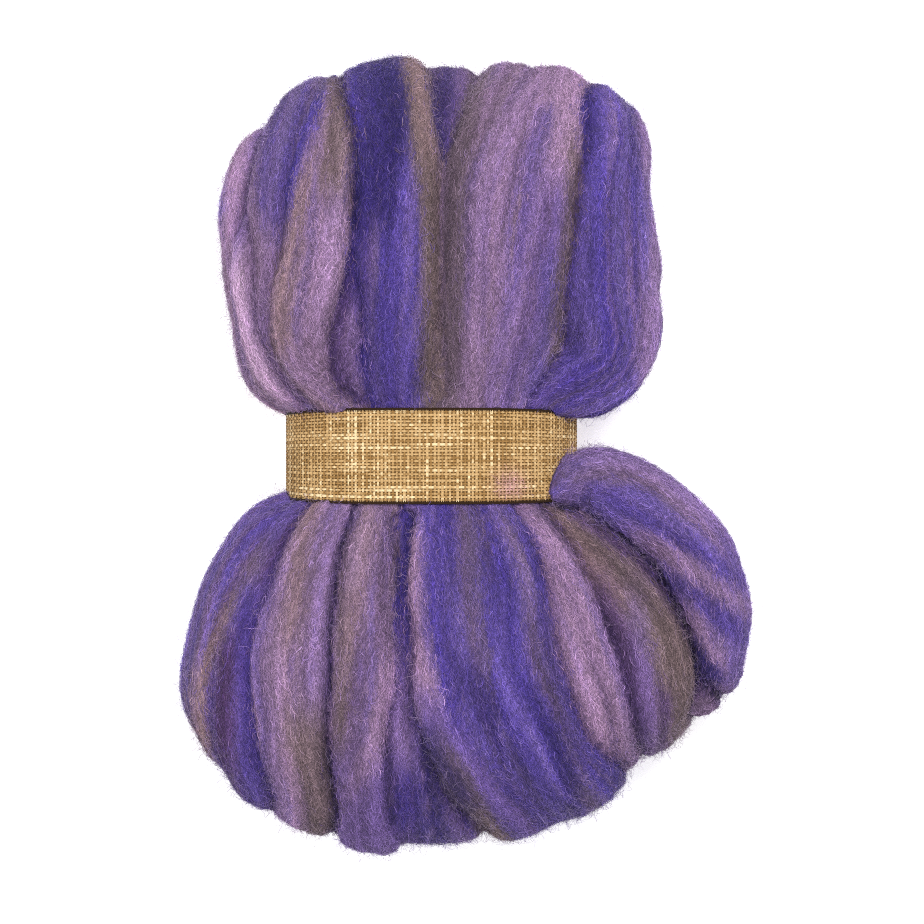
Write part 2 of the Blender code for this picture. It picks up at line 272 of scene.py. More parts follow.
# Thin streaks of other dyes all over the wool, and how much of each there is
Accent = namedtuple("Accent", "dye share seed")
ACCENTS = [Accent(*row) for row in (
    ("mauve", 0.4, 31),
    ("olive_taupe", 0.35, 32),
    ("blue_violet", 0.45, 33),
    ("plum", 0.35, 34),
)]
ACCENT_ACROSS = 2.6
ACCENT_ALONG = 75.0
ACCENT_FROM, ACCENT_FULL = 0.1, 0.55
DYE_GAIN = 1.32  # the dyes are of wool in the light, and fibres shade each other
MIX_SOFT = 0.6
MIX_FINE = 0.3
EDGE_WANDER = 1.2
STRAY = 2.0  # a fibre has the dye of a place this far from where it lies
DRIFT = 2.2  # and the dyes' borders stray this far to the sides
DRIFT_SCALE = np.array((15.0, 34.0, 34.0))
DRIFT_SEED = 12
PALE_FIBRE = (190, 172, 200)
PALE_SHARE = 0.14  # of all fibres
STRANGE_SHARE = 0.14
STRANGE = 0.25
PALE_LEAST = 0.9
PALE_GAIN = 1.3
PALE_MIX = (0.02, 0.12)
FIBRE_TONE = 0.3  # how unevenly light the fibres are
FIBRE_TONE_LIMITS = (-0.8, 0.36)
STRAY_WAYS = (1.0, 1.0, 0.3)
STREAK_SOFT = 3.0
STREAK_END = 24.0

# -------------------- the wool's surface
BODY_VOXEL = 2.0
BODY_SOFTENING = 3
BODY_SMOOTH = 0.5
STATION_REACH = 3.5  # half of the way from one place on a strand's centre line to the next

# The creases between strands that lie side by side: how much deeper than the bare strands meet,
# and how much painted shade darkens the wool there. Strands that lie as one broad band have none.
Crease = namedtuple("Crease", "lobe one other deep shade")
PLAIN_CREASE = Crease(0, 0, 0, 0.6, 0.2)
CREASES = [Crease(*row) for row in (
    (1, 0, 1, 1.2, 0.45),
    (1, 1, 2, 1.0, 0.4),
    (1, 1, 3, 1.2, 0.45),
    (1, 2, 3, 0.8, 0.35),
    (1, 3, 4, 1.6, 0.65),
    (1, 3, 5, 1.4, 0.6),
    (1, 4, 5, 0.6, 0.45),
    (1, 5, 6, 0.8, 0.3),
    (1, 5, 7, 1.0, 0.3),
    (1, 6, 7, 0.8, 0.3),
    (1, 7, 8, -1.0, 0.0),
    (1, 8, 9, 1.8, 0.6),
    (-1, 0, 1, 0.4, 0.3),
    (-1, 1, 2, 1.0, 0.5),
    (-1, 2, 3, 2.4, 0.9),
    (-1, 3, 4, 0.9, 0.45),
    (-1, 3, 5, 2.0, 0.7),
    (-1, 4, 5, 1.6, 0.5),
    (-1, 5, 6, -1.0, 0.0),
    (-1, 6, 7, 1.2, 0.5),
    (-1, 7, 8, 1.2, 0.6),
    (-1, 8, 9, 2.4, 0.9),
    (-1, 8, 10, 3.0, 0.95),
    (-1, 9, 10, 2.8, 0.95),
)]
CREASE_WIDE = 0.18  # where two strands meet, as a share of a strand's half size
# how far the painted shade of a crease reaches, as a share of a strand's half size
PAINTED_CREASE_SHADE_WIDE = 0.24
LIT_EDGE = 0.45  # the painted crease shade reaches this share as far on the strand that lies higher, as if its edge were lit
HIGHER = 0.04  # by this share of FOLD_REACH
PAINTED_CREASE_SHADE_HUE = np.array((1.15, 1.25, 0.85))  # painted crease shade: red and green darken more than blue, so the shade is violet

# Lighter and darker streaks of fibre along the strands
# the broad tone follows the RIDGES noise that also raises the wool body: painted shade in the
# ridges' valleys, painted light on their tops
RIDGE_PAINTED_SHADE = 0.24
TONE_FINE = 0.3
TONE_HAIR = 0.26
RIDGE_HIGH = 0.7
LUMP_WIDE = 15.0
LUMP_HIGH = 0.5
LUMP_SEED = 2

# Noise in streaks along the strands: how large it is across and along them
Pattern = namedtuple("Pattern", "across along seed")
MIXING = Pattern(5.0, 110.0, 3)
FINE_MIXING = Pattern(5.0 / 3, 110.0 / 3, 4)
WANDERING = Pattern(3.0, 40.0, 5)
RIDGES = Pattern(4.2, 46.0, 1)
FINE_LINES = Pattern(1.5, 38.0, 6)
HAIRS = Pattern(0.6, 14.0, 9)
STRANDS_APART = 7.31  # so that no two strands have the same pattern

# The tie's upper edge holds the wool back that would overhang it
HELD_OVER = 0.5  # it starts to, this far in from the edge
HELD_FROM = 4.0
HELD_GIVE = 0.8  # and the wool reaches this much farther at most
HELD_ABOVE = (0.96, 1.02)  # only wool this far out, by the tie's size, is held

# -------------------- the fibres
# A layer: its fibres, their steps and how long those are, how far the fibres turn from the strand,
# how much and how widely they curl, and how wide they are
Layer = namedtuple("Layer", "count steps short long spread crimp wave thin wide")
LYING = Layer(94000, 4, 0.7, 1.6, 0.32, 0.5, 4.2, 0.12, 0.2)
FUZZ = Layer(17500, 6, 0.6, 1.5, 0.9, 0.6, 4.6, 0.07, 0.13)
# How dense the fibres and the fuzz are on wool that faces down, to the side and up
COVER = ((-1, -0.3, 0.2, 1), (0.35, 0.5, 1.0, 1.0))
RIM = ((-1, -0.5, -0.25, 0.3, 0.6, 1), (0.3, 0.6, 4.5, 4.5, 0.6, 0.35))
BARE_BELOW = 0.3
SWING = (0.5, 1.4)  # each fibre's share of its layer's crimp, and of its wave
PACE = (0.75, 1.35)
LIE = (0.0, 0.3)  # how far fibres lie above the wool, and how far their middles rise
ARCH = (0.1, 0.5)
RISE_POWER = (0.6, 1.6)
STAND_OFF = (2.2, 0.8)  # how far the fuzz stands off, as a gamma distribution
STAND_OFF_LIMITS = (0.3, 5.5)
LOOSE_SHARE = 0.12
LOOSE_LIFT = 2.5
FREE_SHARE = 0.55  # of the fuzz: it stands off by one end, the rest by its middle
PAINTED_HALO_LIGHT = 0.4  # painted backlight: fuzz on the rim is painted this much paler
# and fuzz that faces up is painted this much paler
FACE_PAINTED_LIGHT = 0.08
RIM_TO_FACE = (0.3, 0.7)
FIBRES_TO_A_PIECE = 23500
FLOOR_GAP = 0.2
RIBBON_TILT = 0.7
RIBBON_TAPER = 0.6
SEED = 20


def clear_of_start():
    """The factory scene's own things."""
    for thing in list(bpy.data.objects):
        if thing.name in ("Cube", "Light", "Camera"):
            bpy.data.objects.remove(thing, do_unlink=True)


def linear(colour):
    """A colour in sRGB from 0 to 255 as linear light."""
    share = np.asarray(colour, float) / 255
    return np.where(share <= 0.04045, share / 12.92, ((share + 0.055) / 1.055) ** 2.4)


def blend(colours, others, share):
    return colours * (1 - share) + others * share


def smoothstep(low, high, value):
    share = np.clip((value - low) / (high - low), 0, 1)
    return share * share * (3 - 2 * share)


HASH_PRIMES = np.array((374761393, 668265263, 1440662683))
SEED_PRIME = 974711
MIX_PRIME = 1274126177
LOW_32 = 0xFFFFFFFF
LOW_16 = 0xFFFF


def noise(points, seed):
    """Smooth noise from -1 to 1 at each row of points, with features about one unit across."""
    cell = np.floor(points).astype(np.int64)
    part = points - cell
    part = part * part * (3 - 2 * part)
    total = np.zeros(len(points))
    for corner in itertools.product((0, 1), repeat=3):
        mixed = ((cell + np.array(corner)) * HASH_PRIMES).sum(1)
        mixed = (mixed + seed * SEED_PRIME) & LOW_32
        mixed = ((mixed ^ (mixed >> 13)) * MIX_PRIME) & LOW_32
        value = ((mixed ^ (mixed >> 16)) & LOW_16) / (LOW_16 / 2) - 1
        total += value * np.prod(np.where(corner, part, 1 - part), axis=1)
    return total


def unit(vectors):
    size = np.linalg.norm(vectors, axis=-1, keepdims=True)
    return vectors / np.maximum(size, 1e-9)


def in_frame(points):
    return (points - OUTLINE_MIDDLE) * MM


# -------------------- meshes
def placed(name, data):
    """A new object of the scene, with a mesh, a lamp or a camera as its data."""
    thing = bpy.data.objects.new(name, data)
    bpy.context.scene.collection.objects.link(thing)
    return thing


def set_points(mesh, points):
    mesh.vertices.foreach_set("co", in_frame(points).astype(np.float32).ravel())


def mesh_object(name, points, faces):
    """A smooth mesh object from points in millimetres and an array of faces with equal corners."""
    faces = np.asarray(faces, np.int32)
    mesh = bpy.data.meshes.new(name)
    mesh.vertices.add(len(points))
    set_points(mesh, points)
    mesh.loops.add(faces.size)
    mesh.loops.foreach_set("vertex_index", faces.ravel())
    mesh.polygons.add(len(faces))
    first = np.arange(0, faces.size, faces.shape[1], dtype=np.int32)
    mesh.polygons.foreach_set("loop_start", first)
    mesh.polygons.foreach_set("use_smooth", np.ones(len(faces), bool))
    mesh.update(calc_edges=True)
    return placed(name, mesh)


def mixed_mesh(name, points, faces):
    """The same, but flat, from a list of faces with any number of corners."""
    mesh = bpy.data.meshes.new(name)
    mesh.from_pydata(in_frame(points).tolist(), [], faces)
    return placed(name, mesh)


def store_colour(mesh, name, colours):
    """Linear colours at the mesh's points."""
    layer = mesh.color_attributes.new(name, "FLOAT_COLOR", "POINT")
    rgba = np.ones((len(colours), 4), np.float32)
    rgba[:, :3] = colours
    layer.data.foreach_set("color", rgba.ravel())


def read_points(mesh):
    points = np.zeros(len(mesh.vertices) * 3, np.float32)
    mesh.vertices.foreach_get("co", points)
    return points.reshape(-1, 3).astype(float) / MM + OUTLINE_MIDDLE


# -------------------- the wound form
def oval(angle, power):
    """Where directions meet an oval of half size 1: an ellipse at power 2, squarer above it."""
    sides = np.cos(angle), np.sin(angle)
    return tuple(np.copysign(np.abs(side) ** (2 / power), side) for side in sides)


def smooth_curve(knots):
    """Points of a Catmull-Rom curve through the knots, STEPS_PER_SPAN to each span."""
    knots = np.asarray(knots, float)
    ends = np.vstack([2 * knots[0] - knots[1], knots, 2 * knots[-1] - knots[-2]])
    points = []
    for before, start, stop, after in zip(ends, ends[1:], ends[2:], ends[3:]):
        bend = 2 * before - 5 * start + 4 * stop - after
        twist = 3 * start - before - 3 * stop + after
        for step in range(STEPS_PER_SPAN):
            t = step / STEPS_PER_SPAN
            points.append(0.5 * (2 * start + (stop - before) * t + bend * t**2 + twist * t**3))
    return np.array([*points, knots[-1]])


def ring_faces(rings, count, closed=False):
    """Faces between rings of count points each, and from the last ring to the first if closed."""
    faces = []
    for ring, side in itertools.product(range(rings if closed else rings - 1), range(count)):
        here, beside = ring * count + side, ring * count + (side + 1) % count
        rise = ((ring + 1) % rings - ring) * count
        faces.append((here, beside, beside + rise, here + rise))
    return faces


def loft(rings):
    count, last = len(rings[0]), (len(rings) - 1) * len(rings[0])
    caps = [tuple(reversed(range(count))), tuple(range(last, last + count))]
    return np.concatenate(rings), ring_faces(len(rings), count) + caps


def lobe_axis(middle, y, end_y):
    inner = min(abs(y), abs(end_y) - AXIS_INSET)
    stations = [abs(section.y) for section in middle]
    centres = [section.centre_x for section in middle]
    x = np.interp(inner, stations, centres)
    return np.array([x, math.copysign(inner, end_y), MID_HEIGHT])


def fold_knots(fold):
    side = math.copysign(1, fold.tip_y)
    tip_y = fold.tip_y - side * AT_TIP.thick * fold.thick / 2
    stations = (
        (fold.tie_x, side * FOLD_START, AT_TIE),
        (fold.tie_x, side * FOLD_LEAVES_TIE, AT_TIE),
        (fold.low_x, fold.low_y, AT_LOW),
        (fold.belly_x, fold.belly_y, AT_BELLY),
        (fold.high_x, fold.high_y, AT_HIGH),
        (fold.tip_x, tip_y, AT_TIP._replace(wide=fold.tip_wide)),
    )
    front = []
    back = []
    for x, y, swell in stations:
        height = swell.rise * fold.rise * FOLD_REACH
        size = (swell.wide * fold.wide, swell.thick * fold.thick)
        moved = fold.back_x * swell.rise
        front.append((x, y, MID_HEIGHT + height, *size))
        back.append((x + moved, y, MID_HEIGHT - height, *size))
    return front + back[-2::-1]


def uneven(phase, run):
    """How a wound roving strays from even along its run, from -1 to 1."""
    slow = np.sin(2 * math.pi * run / WANDER_SLOW + phase)
    quick = np.sin(2 * math.pi * run / WANDER_QUICK + 2 * phase)
    return SLOW_SHARE * slow + (1 - SLOW_SHARE) * quick


Strand = namedtuple("Strand", "centre heading outward sideways half_wide half_thick run")


def strand_of(fold, middle):
    """A fold's centre line with its directions, half sizes and the length run from the tie."""
    curve = smooth_curve(fold_knots(fold))
    centres = curve[:, :3]
    headings = unit(np.gradient(centres, axis=0))
    axis = np.array([lobe_axis(middle, centre[1], fold.tip_y) for centre in centres])
    outward = centres - axis
    outward[:, 0] *= SIDE_LEAN
    outward -= headings * (outward * headings).sum(1, keepdims=True)
    outward = unit(outward)
    sideways = np.cross(headings, outward)
    run = np.concatenate([[0], np.cumsum(np.linalg.norm(np.diff(centres, axis=0), axis=1))])
    past_tie = abs(centres[:, 1]) - TIE_WIDTH / 2
    free = np.clip(past_tie / TIE_WIDTH, 0, 1)
    centres = centres + sideways * (WANDER * uneven(fold.tip_x, run) * free)[:, None]
    swell = 1 + SWELLING * uneven(fold.tip_y, run) * free
    half_sizes = curve[:, 3] / 2 * swell, curve[:, 4] / 2 * swell
    return Strand(centres, headings, outward, sideways, *half_sizes, run)


STRANDS = [strand_of(fold, UPPER_MIDDLE) for fold in UPPER_FOLDS]
STRANDS += [strand_of(fold, LOWER_MIDDLE) for fold in LOWER_FOLDS]
DYED = UPPER_DYED + LOWER_DYED


def strand_skin(strand):
    rings = []
    across, away = oval(2 * np.pi * np.arange(FOLD_SIDES) / FOLD_SIDES, SECTION_POWER)
    for step in range(len(strand.run)):
        ring = (
            strand.centre[step]
            + np.outer(across * strand.half_wide[step], strand.sideways[step])
            + np.outer(away * strand.half_thick[step], strand.outward[step])
        )
        rings.append(ring[::-1])
    return loft(rings)


def middle_skin(middle):
    across, up = oval(np.pi * np.arange(2 * FOLD_SIDES) / FOLD_SIDES, SECTION_POWER)
    rings = []
    for section in middle:
        x = section.centre_x + section.half_wide * across
        z = MID_HEIGHT + section.half_high * up
        ring = np.stack([x, np.full(len(across), float(section.y)), z], axis=1)
        rings.append(ring if middle[0].y > middle[-1].y else ring[::-1])
    return loft(rings)


def tie_points(angle, grow, y):
    """Points on the tie's form: grow beyond its outer face, y along its width before its pinch."""
    across, up = oval(angle, TIE_POWER)
    x = TIE_CENTRE_X + (TIE_HALF_WIDE + grow) * across
    pinched = y * (1 - TIE_SIDE_PINCH * 2 / TIE_WIDTH * across**4)
    return np.stack([x, pinched, MID_HEIGHT + (TIE_HALF_HIGH + grow) * up], axis=-1)


def band_skin(outside, inside, reach, steps=96):
    """A closed band on the tie's form, between two faces."""
    angle = 2 * np.pi * np.arange(steps) / steps
    section = ((outside, -reach), (outside, reach), (inside, reach), (inside, -reach))
    rings = [tie_points(angle, grow, np.full(steps, y)) for grow, y in section]
    faces = [(a, d, c, b) for a, b, c, d in ring_faces(len(rings), steps, closed=True)]
    return np.concatenate(rings), faces


def waist_skin(steps=72):
    angle = 2 * np.pi * np.arange(steps) / steps
    inside = -TIE_THICK - SEAT_GAP - WAIST_SLACK
    reach = TIE_WIDTH / 2 + WAIST_REACH
    return loft([tie_points(angle, inside, np.full(steps, y)) for y in (reach, 0.0, -reach)])


def joined(skins):
    points = []
    faces = []
    for skin_points, skin_faces in skins:
        first = sum(len(part) for part in points)
        points.append(skin_points)
        faces += [tuple(first + corner for corner in face) for face in skin_faces]
    return np.concatenate(points), faces


# -------------------- where a point lies in the winding
Place = namedtuple("Place", "strand beside across run heading apart")
POINTS_AT_ONCE = 8000


def place_of(points):
    """Where points lie in the winding: the nearest strand and the next, how far across it from -1
    to 1, its run in mm, its heading, and how much nearer it is than the next, in half sizes."""
    sizes = [len(strand.run) for strand in STRANDS]
    starts = np.concatenate([[0], np.cumsum(sizes)[:-1]])
    line = Strand(*(np.concatenate(parts) for parts in zip(*STRANDS)))
    parts = []
    for block in np.array_split(points, max(1, len(points) // POINTS_AT_ONCE)):
        gaps = (block**2).sum(1)[:, None] + (line.centre**2).sum(1) - 2 * block @ line.centre.T
        count = len(block)
        best, second = np.full(count, np.inf), np.full(count, np.inf)
        strand, beside = np.zeros(count, int), np.zeros(count, int)
        across, run, heading = np.zeros(count), np.zeros(count), np.zeros((count, 3))
        for number, (start, size) in enumerate(zip(starts, sizes)):
            near = start + gaps[:, start : start + size].argmin(1)
            offset = block - line.centre[near]
            along = (offset * line.heading[near]).sum(1)
            held = np.clip(along, -STATION_REACH, STATION_REACH)
            here = (offset * line.sideways[near]).sum(1) / line.half_wide[near]
            away = (offset * line.outward[near]).sum(1) / line.half_thick[near]
            past = (along - held) / line.half_thick[near]
            far = np.sqrt(here**2 + away**2 + past**2)
            closer = far < best
            next_one = closer | (far < second)
            beside = np.where(closer, strand, np.where(next_one, number, beside))
            second = np.where(closer, best, np.minimum(second, far))
            best = np.where(closer, far, best)
            strand = np.where(closer, number, strand)
            across = np.where(closer, here, across)
            run = np.where(closer, line.run[near] + along, run)
            heading = np.where(closer[:, None], line.heading[near], heading)
        parts.append((strand, beside, across, run, heading, second - best))
    return Place(*(np.concatenate(column) for column in zip(*parts)))


def strand_number(lobe, fold):
    return fold if lobe > 0 else fold + len(UPPER_FOLDS)


def at_crease(place):
    """How deep the crease between each point's two nearest strands is, and how much painted shade
    darkens it.
    """
    table = np.full((len(STRANDS), len(STRANDS), 2), PLAIN_CREASE[3:])
    for crease in CREASES:
        one, other = (strand_number(crease.lobe, fold) for fold in crease[1:3])
        table[one, other] = table[other, one] = crease[3:]
    deep, shade = table[place.strand, place.beside].T
    # painted shade: it reaches less far onto the strand that lies higher, so that edge looks lit
    rise = np.array([fold.rise for fold in UPPER_FOLDS + LOWER_FOLDS])
    over = rise[place.strand] > rise[place.beside] + HIGHER
    shade_wide = PAINTED_CREASE_SHADE_WIDE * np.where(over, LIT_EDGE, 1.0)
    return (
        deep * np.exp(-((place.apart / CREASE_WIDE) ** 2)),
        shade * np.exp(-((place.apart / shade_wide) ** 2)),
    )


def along_strand(place, pattern):
    half = np.array([strand.half_wide.max() for strand in STRANDS])[place.strand]
    across, along = place.across * half / pattern.across, place.run / pattern.along
    return noise(np.stack([across, along, place.strand * STRANDS_APART], axis=1), pattern.seed)


def streak_distance(points, streak):
    """How far each point is from a streak's middle line, seen from above, and past its ends."""
    curve = smooth_curve(np.reshape(streak[3:9], (3, 2)))
    ways = np.diff(curve, axis=0)
    sizes = [np.linalg.norm(way) for way in ways]
    apart = np.full(len(points), np.inf)
    past = np.zeros(len(points))
    for number, (start, way, size) in enumerate(zip(curve, ways, sizes)):
        share = ((points[:, :2] - start) @ way) / way.dot(way)
        near = start + np.clip(share, 0, 1)[:, None] * way
        gap = np.linalg.norm(points[:, :2] - near, axis=1)
        beyond = np.zeros(len(points))
        if number == 0:
            beyond = np.maximum(beyond, -share * size)
        if number == len(ways) - 1:
            beyond = np.maximum(beyond, (share - 1) * size)
        side = np.sqrt(np.maximum(gap**2 - beyond**2, 0))
        closer = side < apart
        apart = np.where(closer, side, apart)
        past = np.where(closer, beyond, past)
    return apart, past * max(1.0, STREAK_END / sum(sizes))


def dye_of(points):
    """Linear colour of the wool at each point."""
    points = points.copy()
    points[:, 0] += DRIFT * noise(points / DRIFT_SCALE, DRIFT_SEED)
    place = place_of(points)
    table = {name: linear(colour) for name, colour in DYES.items()}
    main = np.array([table[dyed.main] for dyed in DYED])[place.strand]
    other = np.array([table[dyed.other] for dyed in DYED])[place.strand]
    share = np.array([dyed.share for dyed in DYED])[place.strand]
    streaky = along_strand(place, MIXING) + MIX_FINE * along_strand(place, FINE_MIXING)
    colour = blend(main, other, smoothstep(-MIX_SOFT, MIX_SOFT, streaky + 2 * share - 1)[:, None])
    for accent in ACCENTS:
        streaky = along_strand(place, Pattern(ACCENT_ACROSS, ACCENT_ALONG, accent.seed))
        weight = accent.share * smoothstep(ACCENT_FROM, ACCENT_FULL, streaky)[:, None]
        colour = blend(colour, table[accent.dye], weight)
    wander = EDGE_WANDER * along_strand(place, WANDERING)
    for streak in STREAKS:
        mine = np.nonzero(place.strand == strand_number(streak.lobe, streak.fold))[0]
        if not len(mine):
            continue
        apart, past = streak_distance(points[mine], streak)
        edge = apart + wander[mine] - streak.half_wide
        weight = 1 - smoothstep(-STREAK_SOFT, STREAK_SOFT, edge)
        weight *= 1 - smoothstep(0, STREAK_END, past + 2 * wander[mine])
        colour[mine] = blend(colour[mine], table[streak.dye], weight[:, None] * streak.share)
    return colour * DYE_GAIN


def tone_and_painted_shade(place):
    """What the dye is multiplied by: lines of fibre along the strand, painted shade and light
    along the body's ridges, and painted shade in the creases.
    """
    tone = RIDGE_PAINTED_SHADE * along_strand(place, RIDGES)
    tone += TONE_FINE * along_strand(place, FINE_LINES)
    tone += TONE_HAIR * along_strand(place, HAIRS)
    return np.exp(tone)[:, None] * (1 - at_crease(place)[1][:, None]) ** PAINTED_CREASE_SHADE_HUE


# -------------------- materials
def new_material(name, roughness):
    material = bpy.data.materials.new(name)
    material.use_nodes = True
    shader = material.node_tree.nodes["Principled BSDF"]
    shader.inputs["Roughness"].default_value = roughness
    shader.inputs["Specular IOR Level"].default_value = 0.1
    return material, material.node_tree, shader


# How a dyed stuff looks: its grain's scale and detail, 0 for the curled lines of felted wool, and
# how much darker and lighter the grain makes the dye
Finish = namedtuple("Finish", "rough sheen sheen_rough grain detail dark light bump bump_deep")
FELTED = Finish(0.95, 0.06, 0.6, 0, 0, 0.45, 1.6, 0.8, 0.0004)
FIBRE = Finish(0.8, 0.1, 0.5, 700.0, 1.0, 0.8, 1.2, 0, 0)
THREAD = Finish(0.85, 0.1, 0.5, 2600.0, 2.0, 0.65, 1.35, 0.4, 0.0002)
FELT_LAYERS = (((1300, 520, 1000), (0, 0, 0)), ((1000, 700, 900), (31, 17, 5)))
LINE_HALF = 0.07


def node(tree, kind, values=(), links=(), out=0):
    """A new node's output: values are of its inputs, or else of its own, by name or number."""
    made = tree.nodes.new(kind)
    for name, value in dict(values).items():
        if isinstance(name, int) or name in made.inputs:
            made.inputs[name].default_value = value
        else:
            setattr(made, name, value)
    for name, output in dict(links).items():
        tree.links.new(output, made.inputs[name])
    return made.outputs[out]


def curled(tree, scale, place):
    """Thin curled lines of value 1 on 0, where a noise crosses its middle."""
    where = node(tree, "ShaderNodeTexCoord", out="Object")
    drawn = node(tree, "ShaderNodeMapping", {"Scale": scale, "Location": place}, {"Vector": where})
    values = {"Scale": 1.0, "Detail": 1.5, "Roughness": 0.6, "Distortion": 1.2}
    field = node(tree, "ShaderNodeTexNoise", values, {"Vector": drawn})
    level = node(tree, "ShaderNodeMath", {"operation": "SUBTRACT", 1: 0.5}, {0: field})
    gap = node(tree, "ShaderNodeMath", {"operation": "ABSOLUTE"}, {0: level})
    values = {"From Max": LINE_HALF, "To Min": 1.0, "To Max": 0.0}
    return node(tree, "ShaderNodeMapRange", values, {"Value": gap})


def dyed_material(name, finish):
    """What takes its mesh's colours, dye and painted shade, a little lighter and darker with its
    own grain.
    """
    material, tree, shader = new_material(name, finish.rough)
    shader.inputs["Sheen Weight"].default_value = finish.sheen
    shader.inputs["Sheen Roughness"].default_value = finish.sheen_rough
    # the dye attribute holds dye and painted shade: creases, ridge valleys, the tie's gaps and
    # edges
    dye = node(tree, "ShaderNodeAttribute", {"attribute_name": "dye"})
    if finish.grain:
        where = node(tree, "ShaderNodeTexCoord", out="Object")
        values = {"Scale": finish.grain, "Detail": finish.detail}
        grain = node(tree, "ShaderNodeTexNoise", values, {"Vector": where})
    else:
        both = {number: curled(tree, *layer) for number, layer in enumerate(FELT_LAYERS)}
        grain = node(tree, "ShaderNodeMath", {"operation": "MAXIMUM"}, both)
    values = {"To Min": finish.dark, "To Max": finish.light}
    tone = node(tree, "ShaderNodeMapRange", values, {"Value": grain})
    colour = node(tree, "ShaderNodeVectorMath", {"operation": "SCALE"}, {0: dye, "Scale": tone})
    tree.links.new(colour, shader.inputs["Base Color"])
    if finish.bump:
        values = {"Strength": finish.bump, "Distance": finish.bump_deep}
        bump = node(tree, "ShaderNodeBump", values, {"Height": grain})
        tree.links.new(bump, shader.inputs["Normal"])
    return material


# -------------------- the wool
def applied(thing):
    """thing's mesh with its modifiers in it, and the modifiers gone."""
    graph = bpy.context.evaluated_depsgraph_get()
    made = bpy.data.meshes.new_from_object(thing.evaluated_get(graph))
    thing.modifiers.clear()
    thing.data = made
    return made


def outside_tie(points):
    """How far out each point lies from the tie's axis, 1 being the tie's outer face."""
    across = np.abs((points[:, 0] - TIE_CENTRE_X) / TIE_HALF_WIDE)
    up = np.abs((points[:, 2] - MID_HEIGHT) / TIE_HALF_HIGH)
    return (across**TIE_POWER + up**TIE_POWER) ** (1 / TIE_POWER)


def held_back(points):
    """The points, with those that overhang the tie's upper edge drawn back to it."""
    free = smoothstep(*HELD_ABOVE, outside_tie(points))
    across = (np.abs(points[:, 0] - TIE_CENTRE_X) / TIE_HALF_WIDE).clip(0, 1)
    edge = TIE_WIDTH / 2 - TIE_SIDE_PINCH * across**4 - HELD_OVER
    past = np.where(points[:, 1] > HELD_FROM, edge - points[:, 1], 0).clip(0)
    kept = HELD_GIVE * (1 - np.exp(-past / HELD_GIVE))
    moved = points.copy()
    moved[:, 1] += (past - kept) * free
    return moved


def make_wool_body():
    skins = [strand_skin(strand) for strand in STRANDS]
    skins += [middle_skin(UPPER_MIDDLE), middle_skin(LOWER_MIDDLE), waist_skin()]
    body = mixed_mesh("wool_body", *joined(skins))
    forming = body.modifiers.new("one body", "REMESH")
    forming.mode = "VOXEL"
    forming.voxel_size = BODY_VOXEL * MM
    softening = body.modifiers.new("soft creases", "SMOOTH")
    softening.factor = BODY_SMOOTH
    softening.iterations = BODY_SOFTENING
    mesh = applied(body)

    points = read_points(mesh)
    place = place_of(points)
    normals = np.zeros(len(points) * 3, np.float32)
    mesh.vertices.foreach_get("normal", normals)
    ridge = along_strand(place, RIDGES)
    lump = noise(points / LUMP_WIDE, LUMP_SEED)
    high = RIDGE_HIGH * ridge + LUMP_HIGH * lump - at_crease(place)[0]
    points += normals.reshape(-1, 3) * high[:, None]
    points[:, 2] = np.maximum(points[:, 2], 0)
    set_points(mesh, held_back(points))
    mesh.update()

    seat = band_skin(SEAT_GAP, -TIE_THICK - SEAT_GAP, TIE_WIDTH / 2 + SEAT_GAP)
    cutter = mixed_mesh("tie_seat", *seat)
    cutting = body.modifiers.new("seat of the tie", "BOOLEAN")
    cutting.operation = "DIFFERENCE"
    cutting.object = cutter
    mesh = applied(body)
    bpy.data.objects.remove(cutter, do_unlink=True)

    mesh.polygons.foreach_set("use_smooth", np.ones(len(mesh.polygons), bool))
    points = read_points(mesh)
    # painted shade: the dye is darkened in creases and ridge valleys, and lightened on ridge tops
    store_colour(mesh, "dye", dye_of(points) * tone_and_painted_shade(place_of(points)))
    mesh.materials.clear()
    mesh.materials.append(dyed_material("wool_ground", FELTED))
    return body


def surface_of(body):
    """The body's triangles: their corners, normals, areas, and a tree to find them by."""
    mesh = body.data
    mesh.calc_loop_triangles()
    points = read_points(mesh)
    corners = np.zeros(len(mesh.loop_triangles) * 3, np.int32)
    mesh.loop_triangles.foreach_get("vertices", corners)
    corners = corners.reshape(-1, 3)
    a, b, c = (points[corners[:, k]] for k in range(3))
    crossed = np.cross(b - a, c - a)
    area = np.linalg.norm(crossed, axis=1) / 2
    tree = BVHTree.FromPolygons(points.tolist(), corners.tolist())
    return corners, points, unit(crossed), area, tree


def scatter(random, count, corners, points, weight):
    """count points on the triangles, with weight as the chance of each, and their triangles."""
    chosen = random.choice(len(corners), count, p=weight / weight.sum())
    first = np.sqrt(random.random(count))[:, None]
    second = random.random(count)[:, None]
    a, b, c = (points[corners[chosen, k]] for k in range(3))
    return a * (1 - first) + b * first * (1 - second) + c * first * second, chosen


def nearest_on(tree, points):
    """The nearest places on the surface and the normals there."""
    places = np.empty_like(points)
    normals = np.empty_like(points)
    for row, point in enumerate(points.tolist()):
        near, normal, _, _ = tree.find_nearest(point)
        places[row] = near
        normals[row] = normal
    return places, normals


def curl_lines(random, tree, starts, normals, headings, layer, stride):
    """Crimped lines that run from starts over the surface, and the surface's normal along them."""
    count = len(starts)
    lean = random.normal(0, layer.spread, count)
    phase = random.random(count) * 2 * np.pi
    swing = layer.crimp * random.uniform(*SWING, count)
    pace = layer.wave * random.uniform(*PACE, count)
    lines, ups = [starts], [normals]
    for step in range(layer.steps):
        ahead = unit(headings - ups[-1] * (headings * ups[-1]).sum(1, keepdims=True))
        aside = np.cross(ups[-1], ahead)
        turn = lean + swing * np.sin(phase + 2 * np.pi * step * stride / pace)
        way = ahead * np.cos(turn)[:, None] + aside * np.sin(turn)[:, None]
        here, up = nearest_on(tree, lines[-1] + way * stride[:, None])
        lines.append(here)
        ups.append(up)
    return np.array(lines), np.array(ups)


